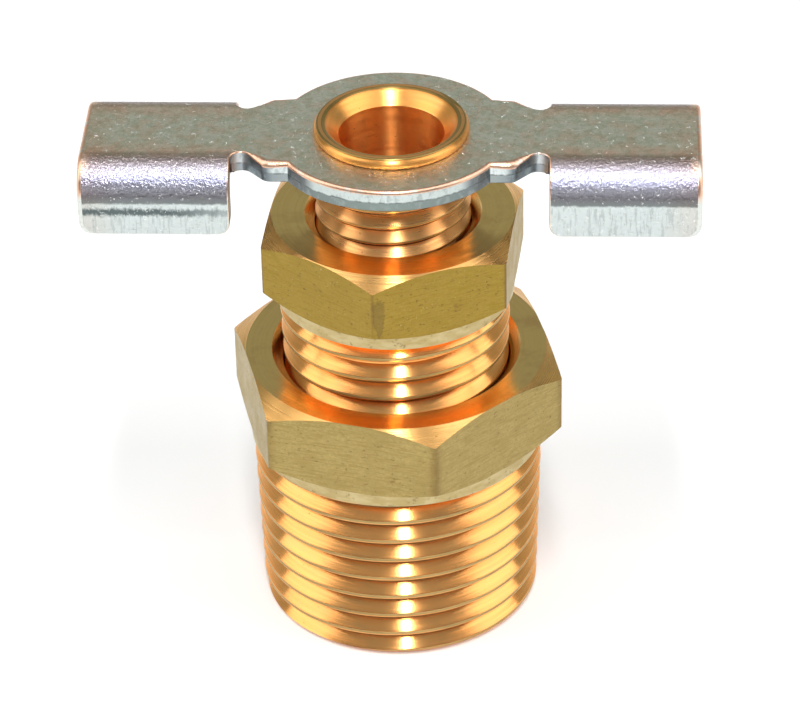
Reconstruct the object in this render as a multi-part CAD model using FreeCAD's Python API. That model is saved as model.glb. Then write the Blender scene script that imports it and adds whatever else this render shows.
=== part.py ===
import FreeCAD, Part
import math
import os

os.makedirs("parts", exist_ok=True)

V = FreeCAD.Vector
UP = V(0, 0, 1)

# Millimetres. The origin is the centre of the bushing's lower end, +Z up, the handle lies along X.

# Pipe threads are built as their crest envelope, a cone that widens with this share of its length.
thread_taper = 1.0 / 16.0

# Reducing bushing
bushing_thread_end_d = 16.88      # outside thread at its small end
bushing_thread_length = 11.5
bushing_lead_in = 0.32            # chamfer at the start of the thread
bushing_collar_d = 17.8           # turned ring between the thread and the hex
bushing_collar_height = 0.85
bushing_hex_af = 18.0
bushing_hex_height = 4.85
bushing_hex_turn = 15.0           # degrees, front corner towards +X
bushing_face_d = 18.12            # turned face inside the corner chamfers
bushing_mouth_d = 15.0            # countersink over the inside thread
bushing_bore_d = 11.1             # tapping drill
bushing_inside_spare = 2.5        # inside thread below the valve body's end

# Valve body
body_thread_end_d = 13.2
body_thread_length = 10.5
body_thread_showing = 4.3         # thread left above the bushing when tight
body_lead_in = 0.7
body_collar_d = 14.3
body_collar_height = 0.85
body_hex_af = 14.5
body_hex_height = 4.3
body_hex_turn = -6.0
body_face_d = 14.4
body_mouth_d = 10.5               # countersink over the stem's thread
body_seat_d = 11.0                # mouth of the valve seat at the lower end
seat_angle = 45.0

# Both hexes
hex_chamfer_angle = 29.0
hex_corner_round = 0.25
countersink_angle = 45.0

# Stem
stem_thread_d = 9.2
stem_showing = 4.15               # stem between the valve body and the handle, valve shut
stem_bore_d = 6.2
stem_mouth_d = 7.8                # countersink of the outlet
stem_rim_d = 9.14                 # rim rolled out over the handle
stem_rim_height = 0.65
stem_rim_top_bevel = 0.3          # rolled edge, drawn as two facets
stem_rim_under_bevel = 0.16
stem_waist_d = 7.6                # plain part between the thread and the valve head
stem_waist_length = 4.2
stem_head_d = 9.7
stem_head_height = 1.4
stem_head_chamfer = 0.45
stem_port_d = 2.2
drill_point_angle = 118.0
drill_floor = 2.7                 # valve head's lower face to the start of the drill point

# Seal ring, a rubber cone on the valve head
ring_d = 10.1
ring_top_d = 8.6
ring_side_height = 0.9

# Handle
sheet = 1.3
handle_length = 36.1
handle_width = 9.4
handle_depth = 4.35               # top face to the lower edge of the folded sides
handle_bend_r = 2.1               # outside of the fold
hub_d = 13.88
handle_hole_d = 7.9
neck_width = 7.5                  # flat sheet between the hub and the relief notches
neck_corner_x = 7.2
notch_x = 8.6                     # centre of the relief notch's round end
notch_r = 0.65
notch_depth = 2.5                 # from the middle line to the notch's round end
fold_corner_r = 0.75
neck_corner_r = 0.35
sheared_edge_bevel = 0.18         # rolled side of the sheared edges

# Clearances, radial or along Z
thread_fit_gap = 0.04
stem_running_gap = 0.06
stake_gap = 0.02
ring_slack = 0.03
seat_gap = 0.1

# Distance under which two places count as one, and angle in degrees under which two directions do
same = 1e-4
same_way_angle = 2.5
aligned = math.cos(math.radians(same_way_angle))

# Heights that follow
bushing_thread_top = bushing_thread_length
bushing_hex_bottom = bushing_thread_top + bushing_collar_height
bushing_top = bushing_hex_bottom + bushing_hex_height
body_thread_top = bushing_top + body_thread_showing
body_bottom = body_thread_top - body_thread_length
body_hex_bottom = body_thread_top + body_collar_height
body_top = body_hex_bottom + body_hex_height
handle_bottom = body_top + stem_showing
handle_top = handle_bottom + sheet
stem_top = handle_top + stem_rim_height

seat_slope = math.tan(math.radians(seat_angle))
sink_slope = math.tan(math.radians(countersink_angle))
seat_drop = seat_gap / math.cos(math.radians(seat_angle))
ring_side_top = body_bottom + (body_seat_d - ring_d) / 2 * seat_slope - seat_drop
ring_top = ring_side_top + (ring_d - ring_top_d) / 2 * seat_slope
ring_bottom = ring_side_top - ring_side_height
head_top = ring_bottom - ring_slack
head_bottom = head_top - stem_head_height
waist_top = head_top + stem_waist_length


def cone_radius(end_d, end_z, z):
    return end_d / 2 + (z - end_z) * thread_taper / 2


def turned(points):
    outline = [V(r, 0, z) for r, z in points]
    return Part.Face(Part.makePolygon(outline + outline[:1])).revolve(V(0, 0, 0), UP, 360)


def lies_along(edge, axis):
    straight = edge.Curve.TypeId == "Part::GeomLine"
    return straight and abs(edge.tangentAt(edge.FirstParameter).dot(axis)) > aligned


def upright_edges(shape):
    return [e for e in shape.Edges if lies_along(e, UP)]


def hex_head(across_flats, bottom, top, face_d, turn):
    corner_r = across_flats / math.sqrt(3)
    outline = []
    for k in range(7):
        a = math.radians(turn + 60 * k)
        outline.append(V(corner_r * math.sin(a), -corner_r * math.cos(a), bottom))
    bar = Part.Face(Part.makePolygon(outline)).extrude(UP * (top - bottom))
    bar = bar.makeFillet(hex_corner_round, upright_edges(bar))
    face_r = face_d / 2
    drop = (corner_r - face_r) * math.tan(math.radians(hex_chamfer_angle))
    blank = turned([(0, bottom), (face_r, bottom), (corner_r, bottom + drop), (corner_r, top - drop),
                    (face_r, top), (0, top)])
    return bar.common(blank)


# Reducing bushing: threaded cone, turned collar and hex, with the inside thread and its drill
bushing_thread_large_r = cone_radius(bushing_thread_end_d, 0, bushing_thread_top)
bushing_lead_r = cone_radius(bushing_thread_end_d, 0, bushing_lead_in)
bushing_shank = turned([(0, 0), (bushing_lead_r - bushing_lead_in, 0), (bushing_lead_r, bushing_lead_in),
                        (bushing_thread_large_r, bushing_thread_top),
                        (bushing_collar_d / 2, bushing_thread_top),
                        (bushing_collar_d / 2, bushing_hex_bottom), (0, bushing_hex_bottom)])
bushing_hex = hex_head(bushing_hex_af, bushing_hex_bottom, bushing_top, bushing_face_d, bushing_hex_turn)

inside_bottom = body_bottom - bushing_inside_spare
inside_end_d = body_thread_end_d + 2 * thread_fit_gap
inside_small_r = cone_radius(inside_end_d, body_bottom, inside_bottom)
bore_r = bushing_bore_d / 2
shoulder_drop = (inside_small_r - bore_r) / math.tan(math.radians(drill_point_angle / 2))
mouth_r = bushing_mouth_d / 2
mouth_drop = (mouth_r - cone_radius(inside_end_d, body_bottom, bushing_top)) / (sink_slope + thread_taper / 2)
mouth_z = bushing_top - mouth_drop
bushing_hollow = turned([(0, 0), (bore_r, 0), (bore_r, inside_bottom - shoulder_drop),
                         (inside_small_r, inside_bottom),
                         (cone_radius(inside_end_d, body_bottom, mouth_z), mouth_z),
                         (mouth_r, bushing_top), (0, bushing_top)])
hex_bushing = bushing_shank.fuse(bushing_hex).removeSplitter().cut(bushing_hollow)

# Valve body: threaded cone, collar and hex, bored through for the stem, with the seat at its lower end
body_lead_r = cone_radius(body_thread_end_d, body_bottom, body_bottom + body_lead_in)
body_shank = turned([(0, body_bottom), (body_lead_r - body_lead_in, body_bottom),
                     (body_lead_r, body_bottom + body_lead_in),
                     (cone_radius(body_thread_end_d, body_bottom, body_thread_top), body_thread_top),
                     (body_collar_d / 2, body_thread_top), (body_collar_d / 2, body_hex_bottom),
                     (0, body_hex_bottom)])
body_hex = hex_head(body_hex_af, body_hex_bottom, body_top, body_face_d, body_hex_turn)
hole_r = stem_thread_d / 2 + stem_running_gap
seat_rise = (body_seat_d / 2 - hole_r) * seat_slope
sink_drop = (body_mouth_d / 2 - hole_r) / sink_slope
body_hollow = turned([(0, body_bottom), (body_seat_d / 2, body_bottom), (hole_r, body_bottom + seat_rise),
                      (hole_r, body_top - sink_drop), (body_mouth_d / 2, body_top), (0, body_top)])
valve_body = body_shank.fuse(body_hex).removeSplitter().cut(body_hollow)

# Hollow stem: valve head, waist with its ports, thread, neck through the handle and rolled rim
thread_r = stem_thread_d / 2
waist_r = stem_waist_d / 2
stem_neck_r = handle_hole_d / 2 - stake_gap
rim_r = stem_rim_d / 2
facet_share = 1 - math.sqrt(0.5)
head_r = stem_head_d / 2
stem = turned([(0, head_bottom), (head_r - stem_head_chamfer, head_bottom),
               (head_r, head_bottom + stem_head_chamfer), (head_r, head_top), (waist_r, head_top),
               (waist_r, waist_top), (thread_r, waist_top + thread_r - waist_r),
               (thread_r, handle_bottom), (stem_neck_r, handle_bottom), (stem_neck_r, handle_top),
               (rim_r - stem_rim_under_bevel, handle_top), (rim_r, handle_top + stem_rim_under_bevel),
               (rim_r, stem_top - stem_rim_top_bevel),
               (rim_r - stem_rim_top_bevel * facet_share, stem_top - stem_rim_top_bevel * facet_share),
               (rim_r - stem_rim_top_bevel, stem_top), (0, stem_top)])
outlet_r = stem_bore_d / 2
outlet_bottom = head_bottom + drill_floor
point_drop = outlet_r / math.tan(math.radians(drill_point_angle / 2))
outlet_sink = (stem_mouth_d / 2 - outlet_r) / sink_slope
stem = stem.cut(turned([(0, outlet_bottom - point_drop), (outlet_r, outlet_bottom),
                        (outlet_r, stem_top - outlet_sink), (stem_mouth_d / 2, stem_top), (0, stem_top)]))
port_z = (ring_top + waist_top) / 2
port = Part.makeCylinder(stem_port_d / 2, stem_thread_d, V(-stem_thread_d / 2, 0, port_z), V(1, 0, 0))
stem = stem.cut(port)

# Seal ring on the waist, resting on the valve head, its cone parallel to the seat
ring_inner_r = waist_r + ring_slack
seal_ring = turned([(ring_inner_r, ring_bottom), (ring_d / 2, ring_bottom), (ring_d / 2, ring_side_top),
                    (ring_top_d / 2, ring_top), (ring_inner_r, ring_top)])


# Handle: one sheet, flat hub and neck, each wing folded down along both long sides
def fold_section(x):
    half = handle_width / 2
    low = handle_top - handle_depth
    flat = half - handle_bend_r
    inner_r = handle_bend_r - sheet
    slant = math.sqrt(0.5)
    centre_z = handle_top - handle_bend_r

    def at(y, z):
        return V(x, y, z)

    def bend(side, r, first, last):
        middle = at(side * (flat + r * slant), centre_z + r * slant)
        return Part.Arc(first, middle, last).toShape()

    def line(first, last):
        return Part.makeLine(first, last)

    inner = half - sheet
    edges = [
        line(at(-half, low), at(-half, centre_z)),
        bend(-1, handle_bend_r, at(-half, centre_z), at(-flat, handle_top)),
        line(at(-flat, handle_top), at(flat, handle_top)),
        bend(1, handle_bend_r, at(flat, handle_top), at(half, centre_z)),
        line(at(half, centre_z), at(half, low)),
        line(at(half, low), at(inner, low)),
        line(at(inner, low), at(inner, centre_z)),
        bend(1, inner_r, at(inner, centre_z), at(flat, handle_bottom)),
        line(at(flat, handle_bottom), at(-flat, handle_bottom)),
        bend(-1, inner_r, at(-flat, handle_bottom), at(-inner, centre_z)),
        line(at(-inner, centre_z), at(-inner, low)),
        line(at(-inner, low), at(-half, low)),
    ]
    return Part.Face(Part.Wire(edges))


def notch_cutter(side_x, side_y):
    # Round-ended relief beside the fold, open outwards, its inner side running out to the neck's corner
    centre_y = notch_depth + notch_r
    corner_y = neck_width / 2
    outer_y = handle_width
    dx = notch_x - neck_corner_x
    dy = corner_y - centre_y
    reach = math.hypot(dx, dy)
    turn = math.atan2(dy, -dx) - math.acos(notch_r / reach)
    touch_x = notch_x + notch_r * math.cos(turn)
    touch_y = centre_y + notch_r * math.sin(turn)
    if touch_y > centre_y:
        turn = math.atan2(dy, -dx) + math.acos(notch_r / reach)
        touch_x = notch_x + notch_r * math.cos(turn)
        touch_y = centre_y + notch_r * math.sin(turn)

    def at(x, y):
        return V(side_x * x, side_y * y, handle_top - 2 * handle_depth)

    round_end = Part.Arc(at(touch_x, touch_y), at(notch_x, notch_depth), at(notch_x + notch_r, centre_y))
    edges = [
        round_end.toShape(),
        Part.makeLine(at(notch_x + notch_r, centre_y), at(notch_x + notch_r, outer_y)),
        Part.makeLine(at(notch_x + notch_r, outer_y), at(neck_corner_x, outer_y)),
        Part.makeLine(at(neck_corner_x, outer_y), at(neck_corner_x, corner_y)),
        Part.makeLine(at(neck_corner_x, corner_y), at(touch_x, touch_y)),
    ]
    return Part.Face(Part.Wire(edges)).extrude(UP * 4 * handle_depth)


neck_low = V(-notch_x, -neck_width / 2, handle_bottom)
handle = Part.makeBox(2 * notch_x, neck_width, sheet, neck_low)
handle = handle.fuse(Part.makeCylinder(hub_d / 2, sheet, V(0, 0, handle_bottom)))
wing_length = handle_length / 2 - notch_x
for start in (notch_x, -handle_length / 2):
    handle = handle.fuse(fold_section(start).extrude(V(wing_length, 0, 0)))
for side_x in (-1, 1):
    for side_y in (-1, 1):
        handle = handle.cut(notch_cutter(side_x, side_y))
handle = handle.removeSplitter()


def fold_corners(shape):
    low = handle_top - handle_depth
    found = []
    for edge in shape.Edges:
        if lies_along(edge, V(0, 1, 0)) and abs(edge.CenterOfMass.z - low) < same:
            found.append(edge)
    return found


def neck_corners(shape):
    found = []
    for edge in upright_edges(shape):
        if abs(abs(edge.CenterOfMass.x) - neck_corner_x) < same:
            found.append(edge)
    return found


def is_skin(face):
    # Faces of the sheet's upper side: top, outside of the folds and outside of the sides
    kind = face.Surface.TypeId
    middle = face.CenterOfMass
    if kind == "Part::GeomCylinder":
        along = abs(face.Surface.Axis.x) > aligned
        return along and abs(face.Surface.Radius - handle_bend_r) < same
    if kind != "Part::GeomPlane":
        return False
    normal = face.normalAt(0, 0)
    if abs(normal.z) > aligned:
        return abs(middle.z - handle_top) < same
    return abs(normal.y) > aligned and abs(abs(middle.y) - handle_width / 2) < same


def rim_of_skin(shape):
    skin = [f for f in shape.Faces if is_skin(f)]
    found = []
    for edge in shape.Edges:
        owners = [f for f in skin if any(e.isSame(edge) for e in f.Edges)]
        if len(owners) == 1:
            found.append(edge)
    return found


handle = handle.makeFillet(fold_corner_r, fold_corners(handle))
handle = handle.makeFillet(neck_corner_r, neck_corners(handle))
handle = handle.makeChamfer(sheared_edge_bevel, rim_of_skin(handle))
handle_hole = Part.makeCylinder(handle_hole_d / 2, 2 * sheet, V(0, 0, handle_bottom - sheet / 2))
wing_handle = handle.cut(handle_hole)

hex_bushing.exportStep("parts/hex_bushing.step")
valve_body.exportStep("parts/valve_body.step")
stem.exportStep("parts/stem.step")
seal_ring.exportStep("parts/seal_ring.step")
wing_handle.exportStep("parts/wing_handle.step")
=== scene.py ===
import math
import bmesh
import bpy
from mathutils import Matrix, Vector


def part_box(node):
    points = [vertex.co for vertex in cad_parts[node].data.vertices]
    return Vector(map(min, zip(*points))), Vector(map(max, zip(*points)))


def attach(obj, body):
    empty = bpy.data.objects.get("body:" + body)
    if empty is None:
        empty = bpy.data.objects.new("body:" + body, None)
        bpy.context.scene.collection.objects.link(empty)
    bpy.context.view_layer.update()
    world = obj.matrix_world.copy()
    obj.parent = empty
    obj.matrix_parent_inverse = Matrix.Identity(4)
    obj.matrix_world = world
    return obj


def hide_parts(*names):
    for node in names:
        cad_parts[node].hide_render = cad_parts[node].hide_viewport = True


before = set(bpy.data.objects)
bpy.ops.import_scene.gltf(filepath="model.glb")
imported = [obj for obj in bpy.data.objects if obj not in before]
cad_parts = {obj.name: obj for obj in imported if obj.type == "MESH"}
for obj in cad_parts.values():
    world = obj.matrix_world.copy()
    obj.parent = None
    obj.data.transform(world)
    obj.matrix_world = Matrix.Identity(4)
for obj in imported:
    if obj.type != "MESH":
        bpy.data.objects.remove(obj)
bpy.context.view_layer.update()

# The pieces are modelled in millimetres, as on the bench, and made metres at the end
mm = 0.001
mergeGap = 0.001  # points closer than this are one
cutGap = 1e-5  # points this close to a cut lie on it
overlap = 0.05  # of forms that are joined into one piece
past = 1.0  # how far a cutter reaches past the face that it cuts


# Selecting and shaping

def deselectAll():
    if bpy.context.mode != "OBJECT":
        bpy.ops.object.mode_set(mode="OBJECT")
    bpy.ops.object.select_all(action="DESELECT")


def grab(piece):
    deselectAll()
    piece.select_set(True)
    bpy.context.view_layer.objects.active = piece


def startEdit(piece, kind="VERT"):
    grab(piece)
    bpy.ops.object.mode_set(mode="EDIT")
    bpy.ops.mesh.select_mode(type=kind)
    bpy.ops.mesh.select_all(action="DESELECT")


def endEdit():
    bpy.ops.object.mode_set(mode="OBJECT")


def selectAll():
    bpy.ops.mesh.select_all(action="SELECT")


# Selects what the test says yes to, in edit mode
def pick(piece, kind, test):
    mesh = bmesh.from_edit_mesh(piece.data)
    found = {"VERT": mesh.verts, "EDGE": mesh.edges, "FACE": mesh.faces}[kind]
    bpy.ops.mesh.select_mode(type=kind)
    bpy.ops.mesh.select_all(action="DESELECT")
    for item in found:
        item.select_set(bool(test(item)))
    mesh.select_flush_mode()
    bmesh.update_edit_mesh(piece.data)


def mergeAll():
    selectAll()
    bpy.ops.mesh.remove_doubles(threshold=mergeGap)
    bpy.ops.mesh.normals_make_consistent(inside=False)


# Names the primitive that was just added, and puts its place in its mesh
def claimNew(name):
    piece = bpy.context.object
    piece.name = name
    piece.data.name = name
    bpy.ops.object.transform_apply(location=True, rotation=True)
    return piece


# A vertex to draw an outline from
def startLine(name, x, y, z):
    deselectAll()
    bpy.ops.mesh.primitive_plane_add(size=1, location=(x, y, z))
    piece = claimNew(name)
    bpy.ops.object.mode_set(mode="EDIT")
    selectAll()
    bpy.ops.mesh.merge(type="CENTER")
    return piece


def drawTo(start, end):
    step = Vector(end) - Vector(start)
    bpy.ops.mesh.extrude_vertices_move(TRANSFORM_OT_translate={"value": step})


# A solid turned on the lathe: outline is (radius, height) from one end to the other
def turned(name, outline, rounds=192):
    deselectAll()
    radius, height = outline[0]
    bpy.ops.mesh.primitive_circle_add(vertices=rounds, radius=radius, location=(0, 0, height))
    piece = claimNew(name)
    bpy.ops.object.mode_set(mode="EDIT")
    selectAll()
    for r, z in outline[1:]:
        bpy.ops.mesh.extrude_region_move(TRANSFORM_OT_translate={"value": (0, 0, z - height)})
        grow = r / radius
        bpy.ops.transform.resize(value=(grow, grow, 1), center_override=(0, 0, z))
        radius, height = r, z
    selectAll()
    bpy.ops.mesh.fill_holes(sides=0)
    mergeAll()
    endEdit()
    return piece


# What a round takes up of each of the two sides that it joins
def tangentLength(radius, turn):
    return radius * math.tan(turn / 2)


def applyModifier(piece, kind, **values):
    change = piece.modifiers.new(kind.lower(), kind)
    for key, value in values.items():
        setattr(change, key, value)
    grab(piece)
    bpy.ops.object.modifier_apply(modifier=change.name)


def combine(piece, other, how):
    applyModifier(piece, "BOOLEAN", object=other, operation=how, solver="MANIFOLD")
    bpy.data.objects.remove(other)
    return piece


# A solid rod with an outside thread, between two heights
def threadRod(name, form, low, high, taper=0.0, steps=96):
    pitch, soft = form["pitch"], form["crestRound"]
    radius = form["radius"] - low * taper  # at height 0
    rootRadius = radius - form["depth"]
    halfCrest = form["crestFlat"] / 2
    roundSteps = 3
    spareTurns = 2  # past each end, cut off later

    # From the edge of a crest's flat to the root
    def flank(lean):
        side = []
        for k in range(roundSteps + 1):
            turn = lean * k / roundSteps
            side.append((radius - soft + soft * math.cos(turn), halfCrest + soft * math.sin(turn)))
        drop = (side[-1][0] - rootRadius) / math.tan(lean)
        return side + [(rootRadius, side[-1][1] + drop)]

    over, under = flank(math.radians(form["flankLean"])), flank(math.radians(form["underLean"]))
    tooth = [(r, -z) for r, z in reversed(under)] + over + [(rootRadius, pitch - under[-1][1])]
    frontShare = 0.75  # of a turn, from +X round to the front
    toFirstTurn = math.floor(low / pitch) - spareTurns
    bottom = (form["frontGroove"] - pitch / 2 - frontShare * pitch) % pitch + toFirstTurn * pitch
    last = (tooth[0][0], 0, bottom + tooth[0][1])
    rod = startLine(name, *last)
    for r, z in tooth[1:]:
        point = (r, 0, bottom + z)
        drawTo(last, point)
        last = point
    endEdit()
    turns = math.ceil((high - bottom) / pitch) + spareTurns
    applyModifier(rod, "SCREW", axis="Z", angle=2 * math.pi, screw_offset=pitch, iterations=turns,
                  steps=steps, render_steps=steps, use_merge_vertices=False)
    startEdit(rod)
    mergeAll()
    endEdit()
    if taper:
        heights = [v.co.z for v in rod.data.vertices]
        reach = max(heights) - min(heights)
        applyModifier(rod, "SIMPLE_DEFORM", deform_method="TAPER", deform_axis="Z",
                      factor=reach * taper / radius)
    startEdit(rod)
    for height, above in ((low, False), (high, True)):
        selectAll()
        bpy.ops.mesh.bisect(plane_co=(0, 0, height), plane_no=(0, 0, 1), use_fill=True,
                            clear_inner=not above, clear_outer=above, threshold=cutGap)
    mergeAll()
    endEdit()
    return rod


# Hex bar with rounded corners and both ends chamfered by a turned cone
def hexHead(name, size, low, high):
    height, middle = high - low, (low + high) / 2
    cornerRadius = size["acrossFlats"] / math.sqrt(3)
    deselectAll()
    bpy.ops.mesh.primitive_cylinder_add(vertices=6, radius=cornerRadius, depth=height,
                                        location=(0, 0, middle),
                                        rotation=(0, 0, math.radians(size["hexTurn"])))
    head = claimNew(name)
    startEdit(head, "EDGE")
    pick(head, "EDGE", lambda e: abs(e.verts[0].co.z - e.verts[1].co.z) > height / 2)
    bpy.ops.mesh.bevel(offset=size["cornerRound"] * math.tan(math.radians(30)), segments=3, profile=0.5)
    endEdit()
    faceRadius = size["faceWidth"] / 2
    middleRadius = faceRadius + height / 2 / math.tan(math.radians(size["chamferAngle"]))
    blank = turned(name + "Blank", [(faceRadius, low), (middleRadius, middle), (faceRadius, high)])
    return combine(head, blank, "INTERSECT")


# Lead-in cone at the lower end of a thread
def cutLeadIn(rod, endRadius, leadIn, low, high):
    room = 4.0  # outside the thread
    wide = endRadius + room
    blank = turned("leadIn", [(endRadius - leadIn, low), (wide, low + leadIn + room), (wide, high + past)])
    combine(rod, blank, "INTERSECT")


# Threaded shank with its collar and hex, still solid inside
def shankWithHex(name, size, low, top):
    collarLow = low + size["threadLength"]
    hexLow = collarLow + size["collarHeight"]
    shank = threadRod(name, size["thread"], low, collarLow + overlap, size["taper"])
    cutLeadIn(shank, size["thread"]["radius"], size["leadIn"], low, hexLow)
    around = size["collarRadius"]
    combine(shank, turned("collar", [(around, collarLow), (around, hexLow + overlap)]), "UNION")
    return combine(shank, hexHead("hex", size, hexLow, top), "UNION")


# Last steps of a modelled piece: metres, smooth shading that keeps flat faces flat, body and node
def finishPiece(piece, body, node, smoothAngle=25):
    startEdit(piece)
    mergeAll()
    endEdit()
    piece.scale = (mm, mm, mm)
    grab(piece)
    bpy.ops.object.transform_apply(location=True, rotation=True, scale=True)
    bpy.ops.object.shade_smooth_by_angle(angle=math.radians(smoothAngle))
    applyModifier(piece, "WEIGHTED_NORMAL", mode="FACE_AREA", weight=50, keep_sharp=True)
    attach(piece, body)
    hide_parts(node)
    print("made", piece.name, len(piece.data.polygons), "faces")


# Gives the faces that the test names another of the piece's materials
def paintFaces(piece, slotIndex, test):
    for face in piece.data.polygons:
        if test(face):
            face.material_index = slotIndex


# Gives the piece its materials, and says which slot each of them is in
def addMaterials(piece, materials):
    piece.data.materials.clear()
    for material in materials.values():
        piece.data.materials.append(material)
    return {part: k for k, part in enumerate(materials)}


# Crests and roots of a thread, by the radius that they have at that height
def paintThread(piece, slots, form, low, high, taper=0.0):
    crestGap, rootGap = 0.02, 0.06
    crestLean, rootLean = 0.15, 0.25  # most that a face may look up or down

    def offCrest(face):
        return face.center.xy.length - form["radius"] - (face.center.z - low) * taper

    paintFaces(piece, slots["Crest"], lambda f: low < f.center.z < high and
               abs(f.normal.z) < crestLean and offCrest(f) > -crestGap)
    paintFaces(piece, slots["Root"], lambda f: low < f.center.z < high and
               abs(f.normal.z) < rootLean and abs(offCrest(f) + form["depth"]) < rootGap)


# A hex piece: thread with crests and roots, collar with the hex's lower side, flats, faced top and chamfers
def dressHex(piece, size, low, flatsLook):
    near = 0.02
    mouthWall = 0.5  # the flats are at least this far outside the mouth
    endZone = 1.0  # what the chamfers at the hex's lower side stay within
    upright, level, flatTop = 0.05, 0.5, 0.95  # how far a face looks up or down
    collarLow = low + size["threadLength"]
    hexLow = collarLow + size["collarHeight"]
    flatsLook = {**flatsLook, "hexTurn": size["hexTurn"]}
    looks = {"Thread": threadLook, "Flats": flatsLook, "Collar": collarLook, "Face": faceLook,
             "Crest": crestLook, "Root": shadedRootLook, "Chamfer": chamferLook}
    makers = {"Flats": drawnBrass, "Collar": paleBrass}
    slots = addMaterials(piece, {part: makers.get(part, turnedBrass)(piece.name + part, look)
                                 for part, look in looks.items()})
    paintFaces(piece, slots["Flats"], lambda f: abs(f.normal.z) < upright and f.center.z > hexLow and
               f.center.xy.length > size["mouthRadius"] + mouthWall)
    paintFaces(piece, slots["Collar"], lambda f: collarLow + near < f.center.z < hexLow - near and
               f.center.xy.length > size["collarRadius"] - near)
    paintFaces(piece, slots["Collar"], lambda f: f.normal.z < -level and
               hexLow - near < f.center.z < hexLow + endZone)
    paintFaces(piece, slots["Face"], lambda f: f.normal.z > level and f.center.z > hexLow + endZone)
    paintFaces(piece, slots["Chamfer"], lambda f: f.material_index == slots["Face"] and
               f.normal.z < flatTop and f.normal.xy.dot(f.center.xy) > 0)
    paintThread(piece, slots, size["thread"], low, collarLow, size["taper"])


# Heights of a solid's lower and upper end
def endsOf(node):
    low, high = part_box(node)
    return low[2] / mm, high[2] / mm


bushingLow, bushingTop = endsOf("hex_bushing")
bodyLow, bodyTop = endsOf("valve_body")
stemLow, stemTop = endsOf("stem")
handleTop = endsOf("wing_handle")[1]
ringTop = endsOf("seal_ring")[1]


# Materials

# Constants and links of a node: a colour is (red, green, blue)
def setInputs(node, values):
    for key, value in values.items():
        socket = node.inputs[key]
        if isinstance(value, bpy.types.NodeSocket):
            node.id_data.links.new(value, socket)
        elif socket.type == "RGBA":
            socket.default_value = (*value, 1)
        else:
            socket.default_value = value


def addNode(tree, kind, values=None, **settings):
    node = tree.nodes.new("ShaderNode" + kind)
    for key, value in settings.items():
        setattr(node, key, value)
    setInputs(node, values or {})
    return node


# The node tree of the sockets among some values
def treeOf(*values):
    return next(value.id_data for value in values if isinstance(value, bpy.types.NodeSocket))


def calc(operation, first, second=0.0):
    tree = treeOf(first, second)
    return addNode(tree, "Math", {0: first, 1: second}, operation=operation).outputs[0]


def times(first, second):
    return calc("MULTIPLY", first, second)


def less(first, second):
    return calc("SUBTRACT", first, second)


# From low, where the value is at the first level, softly to high at the second
def fade(value, first, second, low=0.0, high=1.0):
    values = {"Value": value, "From Min": first, "From Max": second, "To Min": low, "To Max": high}
    return addNode(value.id_data, "MapRange", values, interpolation_type="SMOOTHSTEP").outputs[0]


def blend(mask, first, second, how="MIX"):
    values = {0: mask, 6: first, 7: second}
    return addNode(mask.id_data, "Mix", values, data_type="RGBA", blend_type=how).outputs[2]


# Place on the piece, in millimetres
def placeNode(tree):
    coords = addNode(tree, "TexCoord").outputs["Object"]
    return addNode(tree, "Mapping", {"Vector": coords, "Scale": (1 / mm,) * 3}).outputs[0]


def placeParts(tree):
    return addNode(tree, "SeparateXYZ", {0: placeNode(tree)}).outputs


def noiseNode(tree, place, detail, roughness):
    values = {"Vector": place, "Scale": 1, "Detail": detail, "Roughness": roughness}
    return addNode(tree, "TexNoise", values).outputs[0]


def newGroup(name, inputs, outputs):
    group = bpy.data.node_groups.new(name, "ShaderNodeTree")
    for label, kind, value in inputs:
        group.interface.new_socket(label, in_out="INPUT", socket_type=kind).default_value = value
    for label in outputs:
        group.interface.new_socket(label, in_out="OUTPUT", socket_type="NodeSocketFloat")
    return group, group.nodes.new("NodeGroupInput"), group.nodes.new("NodeGroupOutput")


# Uneven grain: cells for each millimetre along X, Y and Z
def makeGrain():
    inputs = [("Cells", "NodeSocketVector", (1, 1, 1)), ("Offset", "NodeSocketFloat", 0.0)]
    group, given, out = newGroup("grain", inputs, ["Value"])
    cells, offset = given.outputs["Cells"], given.outputs["Offset"]
    scaled = addNode(group, "VectorMath", {0: placeNode(group), 1: cells}, operation="MULTIPLY")
    moved = addNode(group, "VectorMath", {0: scaled.outputs[0], 1: offset}, operation="ADD")
    group.links.new(noiseNode(group, moved.outputs[0], 3, 0.6), out.inputs["Value"])
    return group


# Marks of the lathe tool: rings that follow the radius and the height
def makeTurningMarks():
    inputs = [("Fineness", "NodeSocketFloat", 5.0), ("Drift", "NodeSocketFloat", 0.1)]
    group, given, out = newGroup("turningMarks", inputs, ["Lines"])
    x, y, z = placeParts(group)
    radius = calc("SQRT", calc("ADD", times(x, x), times(y, y)))
    fine = given.outputs["Fineness"]
    rings = addNode(group, "CombineXYZ", {
        0: times(radius, fine),
        1: times(z, fine),
        2: times(x, given.outputs["Drift"]),
    })
    noise = noiseNode(group, rings.outputs[0], 2, 0.7)
    group.links.new(fade(noise, 0.3, 0.7), out.inputs["Lines"])
    return group


grainGroup = makeGrain()
marksGroup = makeTurningMarks()


# One number of cells is the same along all three
def grain(tree, cells, offset=0.0):
    values = {"Cells": cells if isinstance(cells, tuple) else (cells,) * 3, "Offset": offset}
    return addNode(tree, "Group", values, node_tree=grainGroup).outputs["Value"]


# Grain about zero, for ragged borders
def raggedness(tree, cells, offset, reach):
    return times(less(grain(tree, cells, offset), 0.5), reach)


def turningMarks(tree, fineness, drift):
    values = {"Fineness": fineness, "Drift": drift}
    return addNode(tree, "Group", values, node_tree=marksGroup).outputs["Lines"]


def newMaterial(name, metallic=1):
    material = bpy.data.materials.new(name)
    material.use_nodes = True
    shader = material.node_tree.nodes["Principled BSDF"]
    shader.inputs["Metallic"].default_value = metallic
    return material, material.node_tree, shader


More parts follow.
